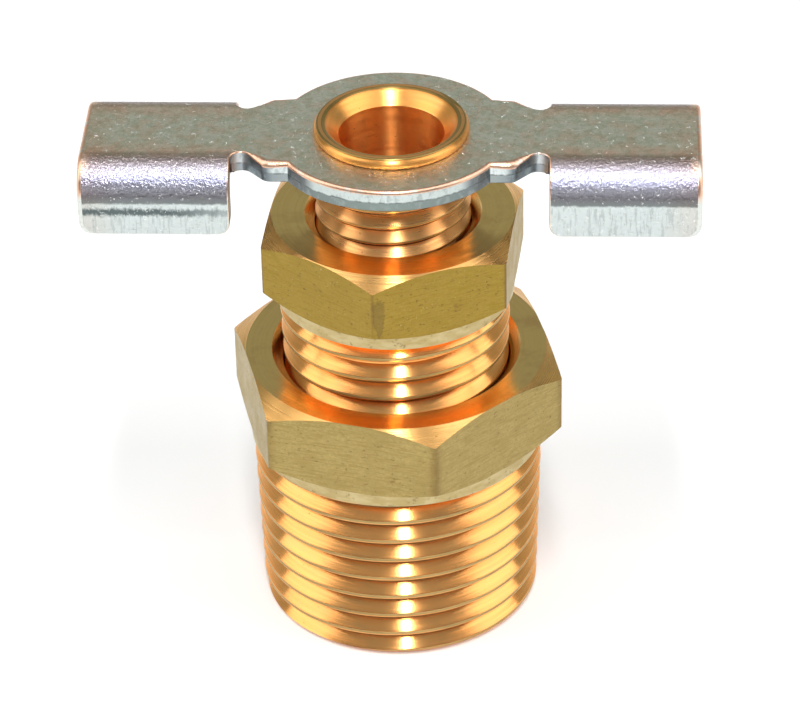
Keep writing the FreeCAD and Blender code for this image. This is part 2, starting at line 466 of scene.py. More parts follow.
# Colour, bump, and a roughness that a mask takes from smooth to rough
def setLooks(shader, look, base, height, mask, levels=(0.3, 0.7)):
    roughness = fade(mask, *levels, look["smooth"], look["rough"])
    values = {"Height": height, "Distance": look["bumpDepth"] * mm, "Strength": 0.5}
    bump = addNode(shader.id_data, "Bump", values).outputs[0]
    setInputs(shader, {"Base Color": base, "Roughness": roughness, "Normal": bump})


# Turned brass: fine rings, glossy round the axis and dull along it
def turnedBrass(name, look):
    material, tree, shader = newMaterial(name)
    tangent = addNode(tree, "Tangent", direction_type="RADIAL", axis="Z").outputs[0]
    setInputs(shader, {"Anisotropic": look["grainPull"], "Anisotropic Rotation": 0.25, "Tangent": tangent})
    lines = turningMarks(tree, look["fineness"], look["drift"])
    patches = grain(tree, (0.5, 0.5, 0.9))
    specks = fade(grain(tree, 5), 0.68, 0.74)
    base = blend(fade(lines, 0, 1, 0, 0.45), look["bright"], look["dull"])
    base = blend(fade(patches, 0.45, 0.75, 0, 0.5), base, look["stain"])
    base = blend(times(specks, look["specks"]), base, look["speckColour"])
    setLooks(shader, look, base, lines, lines, (0, 1))
    return material


# Drawn bar: dull flats with a fine mottle, short marks along the hex, specks, and stains at the corners
def drawnBrass(name, look):
    material, tree, shader = newMaterial(name)
    streaks = grain(tree, (0.9, 0.9, 10))
    mottle = grain(tree, (6, 6, 7), 21.0)
    clouds = grain(tree, (0.55, 0.55, 0.7), 3.0)
    pits = fade(grain(tree, (4, 4, 7), 7.0), 0.60, 0.68)
    glints = fade(grain(tree, 7, 17.0), 0.66, 0.74)
    base = blend(fade(mottle, 0.3, 0.7, 0.2, 0.65), look["light"], look["dark"])
    base = blend(fade(streaks, 0.46, 0.64, 0, 0.8), base, look["dark"])
    base = blend(fade(clouds, 0.45, 0.7, 0, 0.6), base, look["cloud"])
    base = blend(times(pits, 0.5), base, look["speck"])
    base = blend(times(glints, 0.45), base, look["glint"])
    spots = fade(grain(tree, (0.9, 0.9, 1.3), 31.0), 0.66, 0.74, 0, 0.5)
    base = blend(spots, base, look["stain"])
    # Brown stain along each corner
    place = placeParts(tree)
    angle = calc("ARCTAN2", place["X"], times(place["Y"], -1))
    sixth = math.radians(60)
    fromCorner = calc("PINGPONG", less(angle, math.radians(look["hexTurn"])), sixth / 2)
    patchy = fade(grain(tree, (0.8, 0.8, 0.5), 11.0), 0.3, 0.6, 0.25, 1)
    edge = times(fade(fromCorner, look["stainReach"], 0), patchy)
    base = blend(times(edge, look["stainShare"]), base, look["stain"])
    if "smudge" in look:
        base = blend(smudgeMask(tree, place, look["smudge"]), base, look["smudgeColour"])
    setLooks(shader, look, base, less(times(streaks, 0.5), pits), clouds)
    return material


# A dark smear beside the front corner: a ragged spot with a tail below it
def smudgeMask(tree, place, spot):
    x, y, z = place
    middle, half = (spot["low"] + spot["high"]) / 2, (spot["high"] - spot["low"]) / 2
    ragged = raggedness(tree, 2.2, 5.0, spot["ragged"])
    width = fade(z, spot["low"], spot["high"], spot["tail"], spot["reach"])
    across = calc("DIVIDE", less(x, spot["x"]), width)
    tall = calc("DIVIDE", less(z, middle), half)
    away = calc("ADD", times(across, across), times(tall, tall))
    spread = fade(calc("ADD", away, ragged), 1.1, 0.7, 0, spot["share"])
    return times(spread, fade(y, -1, -2))


# Collar under each hex: pale, rough and speckled
def paleBrass(name, look):
    material, tree, shader = newMaterial(name)
    speckle = grain(tree, 3)
    patches = grain(tree, (0.7, 0.7, 2.0), 4.0)
    base = blend(fade(patches, 0.35, 0.65), look["light"], look["dark"])
    base = blend(fade(speckle, 0.6, 0.7, 0, 0.6), base, look["speck"])
    setLooks(shader, look, base, speckle, speckle)
    return material


threadLook = {
    "bright": (0.99, 0.445, 0.135),
    "dull": (0.90, 0.385, 0.105),
    "stain": (0.72, 0.40, 0.145),
    "specks": 0.6,
    "speckColour": (0.16, 0.08, 0.03),
    "fineness": 5.0,
    "drift": 0.12,
    "grainPull": 0.86,
    "smooth": 0.18,
    "rough": 0.25,
    "bumpDepth": 0.005,
}
# Faced by the tool, so its rings run round the flat top
faceLook = {
    **threadLook,
    "bright": (1.0, 0.67, 0.26),
    "dull": (0.92, 0.56, 0.19),
    "grainPull": 0.88,
    "smooth": 0.14,
    "rough": 0.20,
}
# Chamfers at the hex's corners, coarser
chamferLook = {
    **threadLook,
    "bright": (1.0, 0.56, 0.19),
    "dull": (0.88, 0.46, 0.14),
    "fineness": 3.5,
    "grainPull": 0.85,
    "smooth": 0.24,
    "rough": 0.31,
    "bumpDepth": 0.012,
}
# Crests keep the skin of the bar, dull and tan
crestLook = {
    **threadLook,
    "bright": (0.52, 0.35, 0.14),
    "dull": (0.42, 0.28, 0.11),
    "stain": (0.36, 0.24, 0.10),
    "smooth": 0.34,
    "rough": 0.44,
}
# Roots, painted dark brown: painted shade in the groove under each crest
shadedRootLook = {
    **threadLook,
    "bright": (0.24, 0.125, 0.045),
    "dull": (0.15, 0.08, 0.03),
    "stain": (0.12, 0.06, 0.02),
    "smooth": 0.34,
    "rough": 0.44,
}
# The stem's thread, rougher
stemLook = {
    **threadLook,
    "bright": (1.0, 0.485, 0.175),
    "dull": (0.97, 0.44, 0.15),
    "grainPull": 0.68,
    "smooth": 0.26,
    "rough": 0.33,
}
# Outer bead of the rolled rim
beadLook = {
    **threadLook,
    "bright": (1.0, 0.45, 0.12),
    "dull": (0.78, 0.34, 0.085),
    "stain": (0.50, 0.25, 0.08),
    "specks": 0.9,
    "smooth": 0.27,
    "rough": 0.38,
}
# Countersink at the mouth
sinkLook = {
    **threadLook,
    "bright": (1.0, 0.46, 0.12),
    "dull": (0.98, 0.41, 0.10),
    "grainPull": 0.6,
    "smooth": 0.28,
    "rough": 0.36,
}
# Inside of the stem, reamed
boreLook = {
    **threadLook,
    "bright": (1.0, 0.44, 0.115),
    "dull": (0.98, 0.40, 0.095),
    "stain": (0.84, 0.34, 0.08),
    "grainPull": 0.95,
    "smooth": 0.33,
    "rough": 0.40,
}
# Worn and pitted top of the rolled rim
rimLook = {
    **crestLook,
    "bright": (0.50, 0.33, 0.11),
    "dull": (0.38, 0.25, 0.08),
    "stain": (0.30, 0.21, 0.07),
    "specks": 0.9,
}
bushingFlats = {
    "light": (0.485, 0.365, 0.142),
    "dark": (0.335, 0.242, 0.080),
    "cloud": (0.39, 0.285, 0.10),
    "speck": (0.14, 0.09, 0.03),
    "glint": (0.70, 0.56, 0.30),
    "stain": (0.20, 0.12, 0.04),
    "stainReach": 0.05,  # radians round from the corner
    "stainShare": 0.6,
    "smooth": 0.34,
    "rough": 0.46,
    "bumpDepth": 0.012,
}
bodyFlats = {
    **bushingFlats,
    "light": (0.40, 0.27, 0.060),
    "dark": (0.31, 0.205, 0.034),
    "cloud": (0.36, 0.24, 0.048),
    "stainReach": 0.022,
    "stainShare": 0.85,
    "smudge": {"x": -0.52, "tail": 0.22, "reach": 0.46, "low": 22.8, "high": 25.6, "ragged": 1.9,
               "share": 0.45},
    "smudgeColour": (0.15, 0.10, 0.04),
}
collarLook = {
    "light": (0.60, 0.49, 0.26),
    "dark": (0.50, 0.38, 0.17),
    "speck": (0.24, 0.17, 0.07),
    "smooth": 0.36,
    "rough": 0.5,
    "bumpDepth": 0.02,
}


# Colours set out along a value, up to its reach: zones are (place, colour), the two outer ones first
def colourRamp(value, reach, zones):
    node = addNode(value.id_data, "ValToRGB", {0: calc("DIVIDE", value, reach)})
    stops = node.color_ramp.elements
    for k, (at, tint) in enumerate(zones):
        stop = stops[k] if k < 2 else stops.new(at / reach)
        stop.position = at / reach
        stop.color = (*tint, 1)
    return node.outputs[0]


# Distance over the skin from the sheet's middle line, out over the bend and down the folded side
def overSheet(y, z):
    flat = wing["width"] / 2 - wing["bendRadius"]
    centre = handleTop - wing["bendRadius"]
    least = 0.0001
    out = calc("ABSOLUTE", y)
    rise = calc("MAXIMUM", less(z, centre), least)
    lean = calc("ARCTAN2", calc("MAXIMUM", less(out, flat), 0), rise)
    below = calc("MAXIMUM", less(centre, z), 0)
    overBend = calc("ADD", times(lean, wing["bendRadius"]), below)
    return calc("ADD", calc("MINIMUM", out, flat), overBend)


# Plated sheet steel whose colour changes over the bend: partly the plating's tint, partly painted
# reflection
def platedSteel(name, look):
    material, tree, shader = newMaterial(name)
    x, y, z = placeParts(tree)
    along = calc("ABSOLUTE", x)
    # The hub has no fold, so its sheet counts as the middle
    onWing = fade(along, wing["notchX"] - 0.2, wing["notchX"] + 0.4)
    across = times(overSheet(y, z), onWing)
    across = calc("ADD", across, raggedness(tree, 2.5, 2.0, look["ragged"]))
    base = colourRamp(across, look["reach"], look["zones"])
    # Warmer towards the wing's end, and a painted peach glint on the bend at each tip
    base = blend(fade(along, *look["endStart"], 0, 0.55), base, look["endTint"], "MULTIPLY")
    bendEnd = times(fade(across, *look["bendStart"]), fade(across, *look["bendStop"]))
    bendEnd = times(bendEnd, fade(along, *look["tipStart"], 0, 0.8))
    base = blend(bendEnd, base, look["bendEnd"])
    # Clouds on the flat top
    onTop = fade(across, *look["topStop"])
    shade = fade(grain(tree, 2.6, 14.0), 0.42, 0.62)
    base = blend(times(shade, onTop), base, look["shade"], "MULTIPLY")
    cloud = fade(grain(tree, 0.9, 9.0), 0.42, 0.62)
    base = blend(times(cloud, onTop), base, look["cloud"], "MULTIPLY")
    # Folded sides: drag marks of the tool, and on the left a rough dark line
    onSide = fade(across, look["sideStart"], look["sideStart"] + 0.1)
    drag = fade(grain(tree, (6, 6, 0.7), 16.0), 0.5, 0.64, 0, 0.55)
    base = blend(times(drag, onSide), base, look["drag"])
    offLine = calc("ADD", less(across, look["lineAt"]), raggedness(tree, (5, 5, 2.5), 19.0, 0.55))
    line = fade(calc("ABSOLUTE", offLine), 0.36, 0.08, 0, 0.95)
    line = times(line, fade(x, *look["lineGrows"], 0.35, 1))
    line = times(line, fade(x, *look["leftStart"]))
    base = blend(line, base, look["line"])
    # A short scratch on the left wing
    fromX = less(x, look["scratch"][0])
    fromY = less(y, look["scratch"][1])
    lengthwise = calc("ABSOLUTE", less(fromX, fromY))
    crosswise = calc("ABSOLUTE", calc("ADD", fromX, fromY))
    scratch = times(fade(lengthwise, 0.62, 0.5), fade(crosswise, 0.08, 0.03, 0, 0.8))
    base = blend(scratch, base, look["sparkle"])
    # Flecks all over, and a fine grain
    flecks = fade(grain(tree, 3.2, 25.0), 0.66, 0.70)
    fine = grain(tree, 5, 1.0)
    base = blend(flecks, base, look["sparkle"])
    base = blend(fade(fine, 0.62, 0.72, 0, 0.5), base, look["sparkle"])
    base = blend(fade(fine, 0.4, 0.3, 0, 0.35), base, look["pit"])
    height = calc("ADD", fine, times(flecks, 0.6))
    setLooks(shader, look, base, height, fine, (0.7, 0.3))
    return material


# Sheared edge of the sheet: bright torn patches over a dull broken part
# It is painted dark beside the neck and in the notch: painted shade in those recesses
def shearedSteel(name, look):
    material, tree, shader = newMaterial(name)
    place = placeParts(tree)
    along = calc("ABSOLUTE", place["X"])
    upper = colourRamp(along, look["reach"], [(at, over) for at, over, under in look["zones"]])
    lower = colourRamp(along, look["reach"], [(at, under) for at, over, under in look["zones"]])
    height = calc("ADD", place["Z"], raggedness(tree, (1.4, 1.4, 0.5), 6.0, 0.22))
    breakLine = handleTop - wing["sheet"] * look["breakShare"]
    base = blend(fade(height, breakLine + 0.05, breakLine - 0.05), upper, lower)
    tears = grain(tree, (2.6, 2.6, 1.6), 8.0)
    base = blend(fade(tears, 0.48, 0.66, 0, 0.55), base, look["tear"])
    line = calc("ABSOLUTE", less(height, breakLine))
    crack = times(fade(line, 0.07, 0.02), fade(tears, 0.4, 0.55, 0.1, 0.6))
    base = blend(crack, base, look["crack"])
    fine = grain(tree, (9, 9, 6), 3.0)
    base = blend(fade(fine, 0.6, 0.7, 0, 0.5), base, look["tear"])
    setLooks(shader, look, base, calc("ADD", tears, times(fine, 0.4)), fine)
    return material


# Rolled edge of the punched sheet: a painted copper highlight above, where the roll catches the light, bare
# and silvery down the folds
def highlitRolledEdge(name, look):
    material, tree, shader = newMaterial(name)
    height = placeParts(tree)["Z"]
    patches = grain(tree, 0.9, 12.0)
    fine = grain(tree, 6, 4.0)
    warm = fade(height, handleTop - look["warmFrom"], handleTop - look["warmTo"])
    warm = times(warm, fade(patches, 0.66, 0.5, 0.35, 1))
    base = blend(warm, look["bare"], look["rubbed"])
    base = blend(fade(fine, 0.6, 0.7, 0, 0.5), base, look["speck"])
    setLooks(shader, look, base, fine, fine)
    return material


# Underside of the sheet, dull; painted shade makes it dark under the hub, painted light lighter under the
# wings
def shadedUnderSteel(name, look):
    material, tree, shader = newMaterial(name)
    along = calc("ABSOLUTE", placeParts(tree)["X"])
    litUnderWing = fade(along, wing["notchX"], wing["notchX"] + 2, 0, 0.7)
    patches = grain(tree, 0.8, 15.0)
    fine = grain(tree, 5, 22.0)
    base = blend(fade(patches, 0.35, 0.65), look["light"], look["dark"])
    # Painted light: lighter under the wings
    base = blend(litUnderWing, base, look["wing"])
    base = blend(fade(fine, 0.58, 0.7, 0, 0.5), base, look["fleck"])
    setLooks(shader, look, base, fine, fine)
    return material


def sealRubber(name, look):
    material, tree, shader = newMaterial(name, metallic=0)
    dust = grain(tree, 2)
    base = blend(fade(dust, 0.45, 0.7), look["clean"], look["dusty"])
    setLooks(shader, look, base, grain(tree, 6), dust)
    return material


steelLook = {
    "reach": 8.4,  # over the skin, from the middle line to the lower edge
    "sideStart": 6.1,
    "lineAt": 6.62,
    "ragged": 0.25,
    # Where a finish comes in or goes out, over the skin: (least of it, most of it)
    "topStop": (3.4, 2.6),
    "bendStart": (2.3, 2.9),
    "bendStop": (4.4, 3.8),
    # The same along the handle
    "endStart": (15.2, 17.8),
    "tipStart": (17.2, 17.8),
    "lineGrows": (-8, -13),
    "leftStart": (0.5, -0.5),
    # (distance over the skin from the middle line, colour); over the bend, plating tint and painted
    # reflection
    "zones": [
        (0.0, (0.83, 0.805, 0.675)),
        (8.3, (0.61, 0.66, 0.65)),
        (1.5, (0.83, 0.80, 0.665)),
        (2.4, (0.90, 0.72, 0.57)),
        (2.75, (0.62, 0.50, 0.40)),
        (3.3, (0.41, 0.34, 0.34)),
        (3.7, (0.42, 0.38, 0.42)),
        (4.2, (0.46, 0.44, 0.54)),
        (4.5, (0.42, 0.42, 0.57)),
        (4.85, (0.44, 0.43, 0.52)),
        (5.15, (0.44, 0.43, 0.49)),
        # Painted reflection: a dark band at the foot of the bend, for the darkness mirrored there
        (5.55, (0.19, 0.185, 0.20)),
        (5.98, (0.21, 0.23, 0.23)),
        (6.12, (0.65, 0.71, 0.70)),
    ],
    "scratch": (-13.1, -0.78),
    "endTint": (1.0, 0.84, 0.76),
    # Painted glint on the bend at the wing's tips
    "bendEnd": (1.0, 0.72, 0.56),
    "cloud": (1.0, 0.88, 0.84),
    "shade": (0.82, 0.86, 0.80),
    "drag": (0.38, 0.42, 0.415),
    "line": (0.10, 0.13, 0.13),
    "sparkle": (0.95, 0.95, 0.92),
    "pit": (0.34, 0.32, 0.27),
    "smooth": 0.29,
    "rough": 0.38,
    "bumpDepth": 0.14,
}
shearedLook = {
    "reach": 18.1,
    "breakShare": 0.56,  # of the sheet, down from its top
    # (distance from the middle along the handle, colour over the break, colour under it)
    "zones": [
        (0.0, (0.66, 0.72, 0.70), (0.25, 0.30, 0.28)),
        (18.0, (0.50, 0.53, 0.51), (0.36, 0.38, 0.37)),
        (4.2, (0.58, 0.64, 0.62), (0.21, 0.25, 0.24)),
        # Painted shade beside the neck and in the notch
        (4.8, (0.20, 0.22, 0.23), (0.20, 0.22, 0.23)),
        (5.80, (0.17, 0.19, 0.20), (0.17, 0.19, 0.20)),
        (5.86, (0.76, 0.82, 0.81), (0.36, 0.40, 0.40)),
        (6.7, (0.70, 0.76, 0.75), (0.30, 0.34, 0.35)),
        (7.1, (0.18, 0.21, 0.23), (0.17, 0.20, 0.22)),
        (8.0, (0.20, 0.24, 0.27), (0.20, 0.24, 0.27)),
        (8.6, (0.66, 0.69, 0.70), (0.36, 0.40, 0.43)),
        (9.2, (0.34, 0.27, 0.25), (0.26, 0.21, 0.20)),
        (9.4, (0.40, 0.42, 0.41), (0.34, 0.36, 0.36)),
    ],
    "tear": (0.34, 0.39, 0.38),
    "crack": (0.07, 0.08, 0.08),
    "smooth": 0.3,
    "rough": 0.45,
    "bumpDepth": 0.03,
}
edgeLook = {
    "warmFrom": 2.2,  # below the sheet's top
    "warmTo": 1.4,
    "bare": (0.72, 0.74, 0.70),
    # Painted highlight along the top of the roll
    "rubbed": (0.90, 0.54, 0.37),
    "speck": (0.42, 0.28, 0.22),
    "smooth": 0.27,
    "rough": 0.38,
    "bumpDepth": 0.015,
}
# Painted shade under the hub, painted light under the wings
undersideLook = {
    "light": (0.21, 0.215, 0.19),
    "dark": (0.14, 0.145, 0.125),
    "wing": (0.50, 0.50, 0.46),
    "fleck": (0.36, 0.36, 0.33),
    "smooth": 0.36,
    "rough": 0.5,
    "bumpDepth": 0.02,
}
rubberLook = {
    "clean": (0.025, 0.025, 0.025),
    "dusty": (0.06, 0.058, 0.055),
    "smooth": 0.5,
    "rough": 0.75,
    "bumpDepth": 0.02,
}


# Reducing bushing

pipeThread = {"pitch": 25.4 / 18, "crestFlat": 0.15, "crestRound": 0.10, "depth": 0.60, "flankLean": 45,
              "underLean": 54}
pipeTaper = 1 / 32  # on the radius
bushing = {
    "thread": {**pipeThread, "radius": 8.44, "frontGroove": 0.99},
    "taper": pipeTaper,
    "leadIn": 0.32,
    "threadLength": 11.5,
    "collarRadius": 8.9,
    "collarHeight": 0.85,
    "acrossFlats": 18.0,
    "hexTurn": 15,
    "cornerRound": 0.25,
    "faceWidth": 18.12,
    "chamferAngle": 29,
    "mouthRadius": 7.5,
    "insideRadius": 6.64,  # of the inside thread where the valve body ends
    "insideSpare": 2.5,
    "boreRadius": 5.55,
    "drillAngle": 59,
}


def makeBushing(size):
    low, top = bushingLow, bushingTop
    piece = shankWithHex("hexBushing", size, low, top)
    seat = bodyLow  # the valve body ends here
    spareLow = seat - size["insideSpare"]
    spareRadius = size["insideRadius"] - size["insideSpare"] * size["taper"]
    shoulder = (spareRadius - size["boreRadius"]) / math.tan(math.radians(size["drillAngle"]))
    mouthStep = size["mouthRadius"] - size["insideRadius"] - (top - seat) * size["taper"]
    mouthDrop = mouthStep / (1 + size["taper"])
    hollow = turned("hollow", [
        (size["boreRadius"], low - past),
        (size["boreRadius"], spareLow - shoulder),
        (spareRadius, spareLow),
        (size["mouthRadius"] - mouthDrop, top - mouthDrop),
        (size["mouthRadius"] + past, top + past),
    ])
    combine(piece, hollow, "DIFFERENCE")
    dressHex(piece, size, low, bushingFlats)
    return piece


finishPiece(makeBushing(bushing), "fitting", "hex_bushing")


# Valve body

valveBody = {
    "thread": {**pipeThread, "radius": 6.6, "frontGroove": 17.06},
    "taper": pipeTaper,
    "leadIn": 0.7,
    "threadLength": 10.5,
    "collarRadius": 7.15,
    "collarHeight": 0.85,
    "acrossFlats": 14.5,
    "hexTurn": -6,
    "cornerRound": 0.25,
    "faceWidth": 14.4,
    "chamferAngle": 29,
    "mouthRadius": 5.25,
    "holeRadius": 4.66,
    "seatRadius": 5.5,
}


def makeValveBody(size):
    low, top = bodyLow, bodyTop
    piece = shankWithHex("valveBody", size, low, top)
    hollow = turned("hollow", [
        (size["seatRadius"] + past, low - past),
        (size["holeRadius"], low + size["seatRadius"] - size["holeRadius"]),
        (size["holeRadius"], top - size["mouthRadius"] + size["holeRadius"]),
        (size["mouthRadius"] + past, top + past),
    ])
    combine(piece, hollow, "DIFFERENCE")
    dressHex(piece, size, low, bodyFlats)
    return piece


finishPiece(makeValveBody(valveBody), "fitting", "valve_body")


# Wing handle

wing = {
    "sheet": 1.3,
    "length": 36.1,
    "width": 9.4,
    "depth": 4.35,
    "bendRadius": 2.1,
    "bendSteps": 12,
    "hubSteps": 20,
    "holeSteps": 24,
    "cornerSteps": 6,
    "hubRadius": 6.94,
    "holeRadius": 3.95,
    "neckHalf": 3.75,
    "neckSideTurn": 48.47,  # of the neck's slanted side, off the notch's floor
    "notchX": 8.6,
    "notchRadius": 0.65,
    "notchDepth": 2.5,
    "neckCornerRadius": 0.6,
    "foldCornerRadius": 0.75,
    "shearedEdge": 0.06,
    # Rolled upper edge: (distance from the middle along the handle, width of the roll)
    "rolls": [(0, 0.22), (5.84, 0.22), (6.9, 0.40), (7.4, 0.40), (8.2, 0.05), (9.25, 0.08), (17.3, 0.10),
              (17.9, 0.28), (18.1, 0.26)],
}


# Points along a straight side, clear of the parts that the corners' rounds take up
def between(start, end, startPart, endPart, count=6):
    start, end = Vector(start), Vector(end)
    side = (end - start).normalized()
    spare = 0.04
    first = start + side * (startPart + spare)
    last = end - side * (endPart + spare)
    return [tuple(first.lerp(last, k / (count - 1))) for k in range(count)]


# Width of the rolled edge at the middle of an edge of the sheet
def rollAt(rolls, line):
    x = abs(sum(v.co.x for v in line.verts) / 2)
    for (low, first), (high, second) in zip(rolls, rolls[1:]):
        if x <= high:
            return first + (second - first) * (x - low) / (high - low)
    return rolls[-1][1]


# A quarter of the sheet, flat as it is punched, left in edit mode
def punchQuarter(size, edge):
    top, half = handleTop, size["length"] / 2
    slotX = size["notchX"] + size["notchRadius"]
    square, sideTurn = math.radians(90), math.radians(size["neckSideTurn"])
    notchPart = tangentLength(size["notchRadius"], sideTurn)
    cornerPart = tangentLength(size["neckCornerRadius"], sideTurn)
    floorX = size["notchX"] - notchPart
    neckX = floorX - (size["neckHalf"] - size["notchDepth"]) / math.tan(sideTurn)
    rootAngle = math.asin(size["neckHalf"] / size["hubRadius"])
    root = (size["hubRadius"] * math.cos(rootAngle), size["neckHalf"], top)
    notchFloor = (floorX, size["notchDepth"], top)
    neckCorner = (neckX, size["neckHalf"], top)
    corners = [
        (size["holeRadius"], 0, top),
        (half, 0, top),
        (half, edge, top),
        (slotX, edge, top),
        (slotX, size["notchDepth"], top),
        notchFloor,
        *between(notchFloor, neckCorner, notchPart, cornerPart),
        neckCorner,
        *between(neckCorner, root, cornerPart, 0),
        root,
    ]
    piece = startLine("wingHandle", *corners[0])
    for start, end in zip(corners, corners[1:]):
        drawTo(start, end)
    bpy.ops.mesh.spin(steps=size["hubSteps"], angle=rootAngle - square, center=(0, 0, 0), axis=(0, 0, 1))
    drawTo((0, size["hubRadius"], top), (0, size["holeRadius"], top))
    bpy.ops.mesh.spin(steps=size["holeSteps"], angle=square, center=(0, 0, 0), axis=(0, 0, 1))
    selectAll()
    bpy.ops.mesh.remove_doubles(threshold=mergeGap)
    selectAll()
    bpy.ops.mesh.edge_face_add()
    rounds = [
        ((half, edge), size["foldCornerRadius"], square),
        ((slotX, edge), size["foldCornerRadius"], square),
        ((slotX, size["notchDepth"]), size["notchRadius"], square),
        ((floorX, size["notchDepth"]), size["notchRadius"], sideTurn),
        ((neckX, size["neckHalf"]), size["neckCornerRadius"], sideTurn),
    ]
    near = 0.01
    for (x, y), radius, turn in rounds:
        pick(piece, "VERT", lambda v: math.hypot(v.co.x - x, v.co.y - y) < near)
        bpy.ops.mesh.bevel(offset=tangentLength(radius, turn), segments=size["cornerSteps"], profile=0.5,
                           affect="VERTICES")
    return piece


# The wing is parted off at the notch, gets its fold lines and is turned down about each of them
def foldWing(piece, size, flat, bendStep, bendPart):
    top, notchX = handleTop, size["notchX"]
    near = 1e-4
    selectAll()
    bpy.ops.mesh.bisect(plane_co=(notchX, 0, top), plane_no=(1, 0, 0), threshold=cutGap)
    for k in range(size["bendSteps"]):
        pick(piece, "FACE", lambda f: f.calc_center_median().x > notchX)
        foldY = flat + bendPart * (2 * k + 1)
        bpy.ops.mesh.bisect(plane_co=(0, foldY, top), plane_no=(0, 1, 0), threshold=cutGap)
    line = Vector((0, flat + bendPart, top))
    for k in range(size["bendSteps"]):
        along = Vector((0, math.cos(bendStep * k), -math.sin(bendStep * k)))
        pick(piece, "VERT", lambda v: v.co.x > notchX + near and (v.co - line).dot(along) > near)
        bpy.ops.transform.rotate(value=bendStep, orient_axis="X", orient_type="GLOBAL",
                                 center_override=line)
        along = Vector((0, math.cos(bendStep * (k + 1)), -math.sin(bendStep * (k + 1))))
        line = line + along * 2 * bendPart
    endEdit()


# The quarter is mirrored and gets its thickness, with a material for each kind of face
def thickenSheet(piece, size):
    applyModifier(piece, "MIRROR", use_axis=(True, True, False), use_clip=True, merge_threshold=mergeGap)
    startEdit(piece)
    mergeAll()
    if sum(f.normal.z for f in bmesh.from_edit_mesh(piece.data).faces) < 0:
        bpy.ops.mesh.flip_normals()
    endEdit()
    slots = addMaterials(piece, {
        "skin": platedSteel("platedSteel", steelLook),
        "wall": shearedSteel("shearedEdge", shearedLook),
        "underside": shadedUnderSteel("underside", undersideLook),
        "roll": highlitRolledEdge("rolledEdge", edgeLook),
    })
    applyModifier(piece, "SOLIDIFY", thickness=size["sheet"], offset=-1, use_even_offset=True,
                  material_offset=slots["underside"], material_offset_rim=slots["wall"])
    return slots


# The upper edge is rolled, narrow at the notch and the lower edge, wide at the neck's corner and the ends
def rollEdges(piece, size, slots):
    staked = size["holeRadius"] + 0.3  # the stem's rim covers the edge within this radius
    widest = max(roll[1] for roll in size["rolls"])
    levels, spare = 20, 0.01

    def parts(line, first, second):
        if sum(v.co.xy.length for v in line.verts) / 2 < staked:
            return False
        return {f.material_index for f in line.link_faces} == {slots[first], slots[second]}

    startEdit(piece, "EDGE")
    for k in range(1, levels + 1):
        pick(piece, "EDGE", lambda e: parts(e, "skin", "wall") and
             math.ceil(rollAt(size["rolls"], e) / widest * levels - spare) == k)
        bpy.ops.transform.edge_bevelweight(value=k / levels)
    endEdit()
    applyModifier(piece, "BEVEL", limit_method="WEIGHT", width=widest, segments=4, profile=0.5,
                  material=slots["roll"], use_clamp_overlap=False)
    startEdit(piece, "EDGE")
    pick(piece, "EDGE", lambda e: parts(e, "wall", "underside"))
    bpy.ops.mesh.bevel(offset=size["shearedEdge"], segments=1, profile=0.5, material=slots["wall"])
    # Nothing stands above the sheet's top
    pick(piece, "VERT", lambda v: v.co.z > handleTop)
    bpy.ops.transform.resize(value=(1, 1, 0), center_override=(0, 0, handleTop))
    endEdit()


# Punched flat, a quarter at a time, folded along the bend, mirrored and thickened
def makeHandle(size):
    flat = size["width"] / 2 - size["bendRadius"]
    bendStep = math.radians(90) / size["bendSteps"]
    bendPart = tangentLength(size["bendRadius"], bendStep)
    flange = size["depth"] - size["bendRadius"]
    piece = punchQuarter(size, flat + 2 * bendPart * size["bendSteps"] + flange)
    foldWing(piece, size, flat, bendStep, bendPart)
    slots = thickenSheet(piece, size)
    rollEdges(piece, size, slots)
    return piece


finishPiece(makeHandle(wing), "screw", "wing_handle", smoothAngle=35)


# Stem

stem = {
    "thread": {"radius": 4.6, "pitch": 25.4 / 24, "crestFlat": 0.07, "crestRound": 0.07, "depth": 0.48,
               "flankLean": 44, "underLean": 54, "frontGroove": 28.79},
    "headChamfer": 0.45,
    "headRadius": 4.85,
    "headHeight": 1.4,
    "waistRadius": 3.8,
    "waistLength": 4.2,
    "bandHeight": 0.42,  # plain band under the handle
    "bandChamfer": 0.1,
    "neckRadius": 3.93,
    "boreRadius": 3.1,
    "boreFloor": 2.7,  # over the lower end
    "drillAngle": 59,
    "mouthRadius": 3.9,
    "mouthRound": 0.48,
    "portRadius": 1.1,
    # Rolled rim, a bead with a low ring on it: (radius, height over the handle), from below
    "rim": [(4.41, 0.0), (4.51, 0.05), (4.56, 0.14), (4.57, 0.25), (4.55, 0.36), (4.49, 0.45),
            (4.41, 0.51), (4.38, 0.535), (4.39, 0.56), (4.40, 0.585), (4.38, 0.62), (4.34, 0.645),
            (4.28, 0.65)],
    "ringLow": 0.56,  # underside of that ring, over the handle
}


